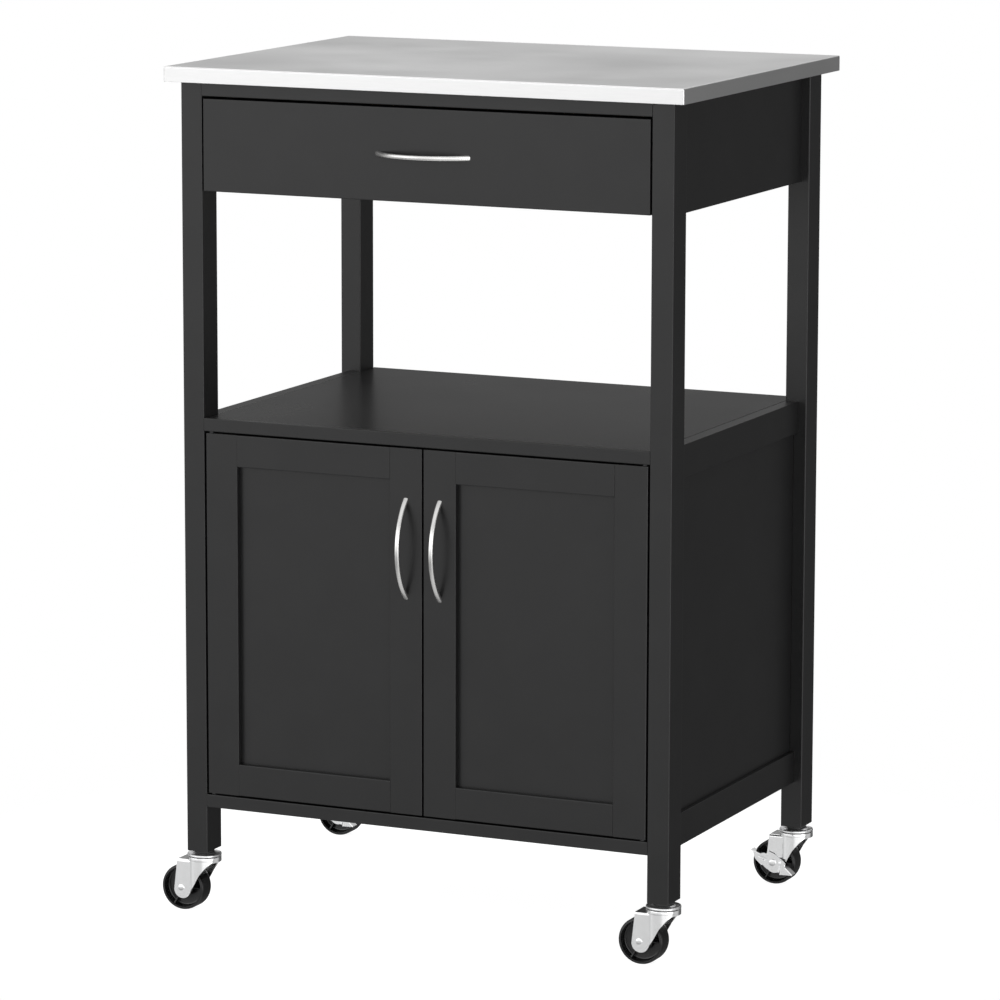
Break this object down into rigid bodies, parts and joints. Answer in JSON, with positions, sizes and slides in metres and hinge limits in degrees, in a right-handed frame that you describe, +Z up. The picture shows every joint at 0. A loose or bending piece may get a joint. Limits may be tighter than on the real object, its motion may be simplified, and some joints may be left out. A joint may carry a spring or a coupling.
{
  "type": "microwave cart",
  "caption": "Four-legged kitchen cart with a steel-clad worktop, a drawer, an open microwave bay, a two-door cabinet and swivel casters.",
  "frame": {"origin": "centre of the overall bounding box on the floor, under the wheels", "axes": "+X to the right seen from the front, +Y from front to back, +Z up"},
  "size_m": [0.6266, 0.4606, 0.9365],
  "materials": {
    "lacquer": "satin black lacquer over wood board",
    "worktop_steel": "fine brushed stainless sheet",
    "raw_board": "plain unfinished board",
    "nickel": "satin nickel",
    "black_steel": "black hinge and screw finish",
    "zinc": "bright zinc plate",
    "runner_steel": "zinc plated strip",
    "black_plastic": "glossy black moulding",
    "socket_plastic": "matt black moulding"
  },
  "bodies": {
    "frame": {"leg_front_left": "lacquer", "leg_front_right": "lacquer", "leg_rear_left": "lacquer", "leg_rear_right": "lacquer", "worktop_board": "raw_board", "worktop_sheet": "worktop_steel", "top_front_rail": "lacquer", "apron_left": "lacquer", "apron_right": "lacquer", "apron_rear": "lacquer", "shelf_panel": "lacquer", "shelf_front_rail": "lacquer", "side_rails_left": "lacquer", "side_rails_right": "lacquer", "rear_rails": "lacquer", "side_panel_left": "lacquer", "side_panel_right": "lacquer", "back_panel": "lacquer", "base_panel": "lacquer", "base_front_rail": "lacquer", "panel_cleats": "lacquer", "worktop_brackets": "zinc", "frame_screws": "zinc", "inner_shelf": "lacquer", "shelf_pins": "zinc", "drawer_runners_fixed": "runner_steel", "hinge_plates": "black_steel", "door_catch": "socket_plastic", "caster_sockets": "socket_plastic", "caster_stems": "zinc"},
    "drawer": {"drawer_front": "lacquer", "drawer_sides": "raw_board", "drawer_back": "raw_board", "drawer_bottom": "raw_board", "drawer_pull": "nickel", "drawer_pull_screws": "zinc", "drawer_runners_moving": "runner_steel"},
    "ball_cages": {"runner_ball_cages": "runner_steel"},
    "door_left": {"door_left_stiles": "lacquer", "door_left_rails": "lacquer", "door_left_panel": "lacquer", "door_left_pull": "nickel", "door_left_fittings": "black_steel"},
    "door_right": {"door_right_stiles": "lacquer", "door_right_rails": "lacquer", "door_right_panel": "lacquer", "door_right_pull": "nickel", "door_right_fittings": "black_steel"},
    "swivel_front_left": {"fork_front_left": "zinc"},
    "wheel_front_left": {"wheel_front_left": "black_plastic"},
    "swivel_front_right": {"fork_front_right": "zinc"},
    "wheel_front_right": {"wheel_front_right": "black_plastic"},
    "swivel_rear_left": {"fork_rear_left": "zinc"},
    "wheel_rear_left": {"wheel_rear_left": "black_plastic"},
    "swivel_rear_right": {"fork_rear_right": "zinc"},
    "wheel_rear_right": {"wheel_rear_right": "black_plastic"},
    "brake_left": {"brake_lever_left": "zinc"},
    "brake_right": {"brake_lever_right": "zinc"}
  },
  "joints": [
    {"name": "drawer_slide", "type": "slide", "parent": "frame", "child": "drawer", "axis": [0, -1, 0], "range_m": [0, 0.23]},
    {"name": "ball_cages_slide", "type": "slide", "parent": "frame", "child": "ball_cages", "axis": [0, -1, 0], "range_m": [0, 0.115]},
    {"name": "door_left_hinge", "type": "hinge", "parent": "frame", "child": "door_left", "pos_m": [-0.24575, -0.2012, 0.138], "axis": [0, 0, -1], "range_deg": [0, 100]},
    {"name": "door_right_hinge", "type": "hinge", "parent": "frame", "child": "door_right", "pos_m": [0.26625, -0.2012, 0.138], "axis": [0, 0, 1], "range_deg": [0, 100]},
    {"name": "swivel_front_left", "type": "hinge", "parent": "frame", "child": "swivel_front_left", "pos_m": [-0.26525, -0.1892, 0.07], "axis": [0, 0, 1], "continuous": true},
    {"name": "wheel_spin_front_left", "type": "hinge", "parent": "swivel_front_left", "child": "wheel_front_left", "pos_m": [-0.28775, -0.1892, 0.0255], "axis": [0, 1, 0], "continuous": true},
    {"name": "swivel_front_right", "type": "hinge", "parent": "frame", "child": "swivel_front_right", "pos_m": [0.28575, -0.1892, 0.07], "axis": [0, 0, 1], "continuous": true},
    {"name": "wheel_spin_front_right", "type": "hinge", "parent": "swivel_front_right", "child": "wheel_front_right", "pos_m": [0.26325, -0.1892, 0.0255], "axis": [0, 1, 0], "continuous": true},
    {"name": "swivel_rear_left", "type": "hinge", "parent": "frame", "child": "swivel_rear_left", "pos_m": [-0.26525, 0.1968, 0.07], "axis": [0, 0, 1], "continuous": true},
    {"name": "wheel_spin_rear_left", "type": "hinge", "parent": "swivel_rear_left", "child": "wheel_rear_left", "pos_m": [-0.28775, 0.1968, 0.0255], "axis": [0, 1, 0], "continuous": true},
    {"name": "swivel_rear_right", "type": "hinge", "parent": "frame", "child": "swivel_rear_right", "pos_m": [0.28575, 0.1968, 0.07], "axis": [0, 0, 1], "continuous": true},
    {"name": "wheel_spin_rear_right", "type": "hinge", "parent": "swivel_rear_right", "child": "wheel_rear_right", "pos_m": [0.26325, 0.1968, 0.0255], "axis": [0, 1, 0], "continuous": true},
    {"name": "brake_lever_left", "type": "hinge", "parent": "swivel_rear_left", "child": "brake_left", "pos_m": [-0.28775, 0.1968, 0.0255], "axis": [0, -1, 0], "range_deg": [0, 18]},
    {"name": "brake_lever_right", "type": "hinge", "parent": "swivel_rear_right", "child": "brake_right", "pos_m": [0.26325, 0.1968, 0.0255], "axis": [0, -1, 0], "range_deg": [0, 18]}
  ],
  "couplings": [
    {"joint": "ball_cages_slide", "follows": "drawer_slide", "ratio": 0.5}
  ]
}
